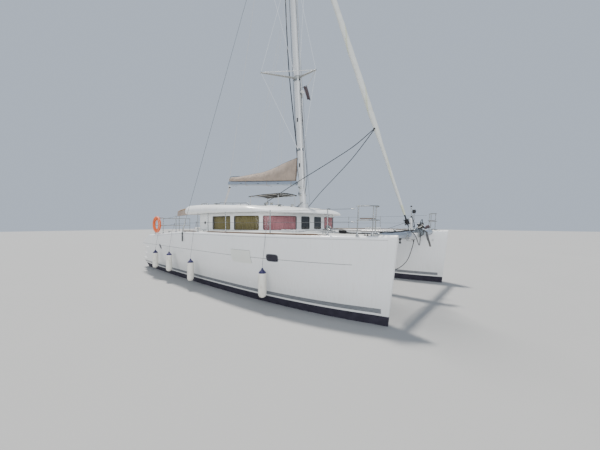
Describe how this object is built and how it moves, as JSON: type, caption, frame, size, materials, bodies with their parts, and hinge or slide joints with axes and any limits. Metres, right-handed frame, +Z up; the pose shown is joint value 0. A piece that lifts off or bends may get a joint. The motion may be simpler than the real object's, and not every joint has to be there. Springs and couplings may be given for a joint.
{
  "type": "sailing catamaran",
  "caption": "Cruising sailing catamaran afloat: twin hulls, glazed deck cabin, mast with swinging boom, furled headsail, steering rudders and turning propellers.",
  "frame": {"origin": "on the waterline, amidships, on the centreline", "axes": "+X forward to the bows, +Y to port, +Z up"},
  "size_m": [12.01, 7.4573, 20.67],
  "materials": {
    "gelcoat": "glossy white gelcoat",
    "deck": "moulded deck, matt",
    "antifoul": "matt dark antifouling",
    "glass": "tinted",
    "steel": "polished stainless",
    "alloy": "pale painted and anodised spars",
    "canvas": "sun-bleached canvas",
    "upholstery": "woven",
    "cover": "weathered canvas",
    "bimini": "dark canvas",
    "sail": "sailcloth",
    "drive": "satin black",
    "net": "woven net",
    "rope": "braided",
    "orange": "satin",
    "fender": "satin vinyl",
    "wood": "varnished",
    "bronze": "dull",
    "galvanised": "galvanised, rust stained"
  },
  "bodies": {
    "boat": {"hull_starboard": "gelcoat", "hull_port": "gelcoat", "bridge_deck": "gelcoat", "cabin_wall": "gelcoat", "cabin_roof": "gelcoat", "helm_pod": "gelcoat", "helm_seat": "deck", "cockpit_bench": "deck", "keel_starboard": "antifoul", "keel_port": "antifoul", "window_glass": "glass", "bimini_frame": "steel", "awning_frame": "steel", "windlass": "steel", "shroud_starboard": "steel", "shroud_port": "steel", "guard_rail_starboard": "steel", "guard_rail_port": "steel", "pulpit_starboard": "steel", "pulpit_port": "steel", "pushpit_starboard": "steel", "pushpit_port": "steel", "mast": "alloy", "spreaders_lower": "alloy", "spreaders_upper": "alloy", "crossbeam": "alloy", "centre_beam": "alloy", "awning_canopy": "canvas", "saloon_seat": "upholstery", "bimini_canopy": "bimini", "headsail": "sail", "furler_drum": "drive", "saildrive_starboard": "drive", "saildrive_port": "drive", "trampoline_starboard": "net", "trampoline_port": "net", "bridle_rope": "rope", "lifebuoy": "orange", "fender_1": "fender", "fender_2": "fender", "fender_3": "fender", "fender_4": "fender", "saloon_table": "wood", "anchor": "galvanised"},
    "boom": {"boom": "alloy", "sail_cover": "cover"},
    "rudder_port": {"rudder_port": "antifoul"},
    "rudder_starboard": {"rudder_starboard": "antifoul"},
    "propeller_port": {"propeller_port": "bronze"},
    "propeller_starboard": {"propeller_starboard": "bronze"},
    "wheel": {"steering_wheel": "steel"},
    "door": {"saloon_door": "glass"},
    "hatch_port": {"hatch_lid_port": "glass"},
    "hatch_starboard": {"hatch_lid_starboard": "glass"}
  },
  "joints": [
    {"name": "boom_swing", "type": "hinge", "parent": "boat", "child": "boom", "pos_m": [1.322, 0, 3.7], "axis": [-0.0629, 0, 0.998], "range_deg": [-50, 50]},
    {"name": "rudder_starboard_turn", "type": "hinge", "parent": "boat", "child": "rudder_starboard", "pos_m": [-5.05, -2.51, -0.3], "axis": [0, 0, 1], "range_deg": [-35, 35]},
    {"name": "rudder_port_turn", "type": "hinge", "parent": "boat", "child": "rudder_port", "pos_m": [-5.05, 2.51, -0.3], "axis": [0, 0, 1], "range_deg": [-35, 35]},
    {"name": "wheel_turn", "type": "hinge", "parent": "boat", "child": "wheel", "pos_m": [-1.8, 1.9, 2.56], "axis": [0.9404, 0, -0.3401], "range_deg": [-360, 360]},
    {"name": "propeller_starboard_spin", "type": "hinge", "parent": "boat", "child": "propeller_starboard", "pos_m": [-4.33, -2.51, -0.76], "axis": [1, 0, 0], "continuous": true},
    {"name": "propeller_port_spin", "type": "hinge", "parent": "boat", "child": "propeller_port", "pos_m": [-4.33, 2.51, -0.76], "axis": [1, 0, 0], "continuous": true},
    {"name": "door_slide", "type": "slide", "parent": "boat", "child": "door", "axis": [0, -1, 0], "range_m": [0, 0.85]},
    {"name": "hatch_starboard_open", "type": "hinge", "parent": "boat", "child": "hatch_starboard", "pos_m": [3.584, -2.51, 1.912], "axis": [0, 1, 0], "range_deg": [0, 95]},
    {"name": "hatch_port_open", "type": "hinge", "parent": "boat", "child": "hatch_port", "pos_m": [3.584, 2.51, 1.912], "axis": [0, 1, 0], "range_deg": [0, 95]}
  ],
  "couplings": [
    {"joint": "rudder_port_turn", "follows": "rudder_starboard_turn", "ratio": 1},
    {"joint": "wheel_turn", "follows": "rudder_starboard_turn", "ratio": 10}
  ]
}
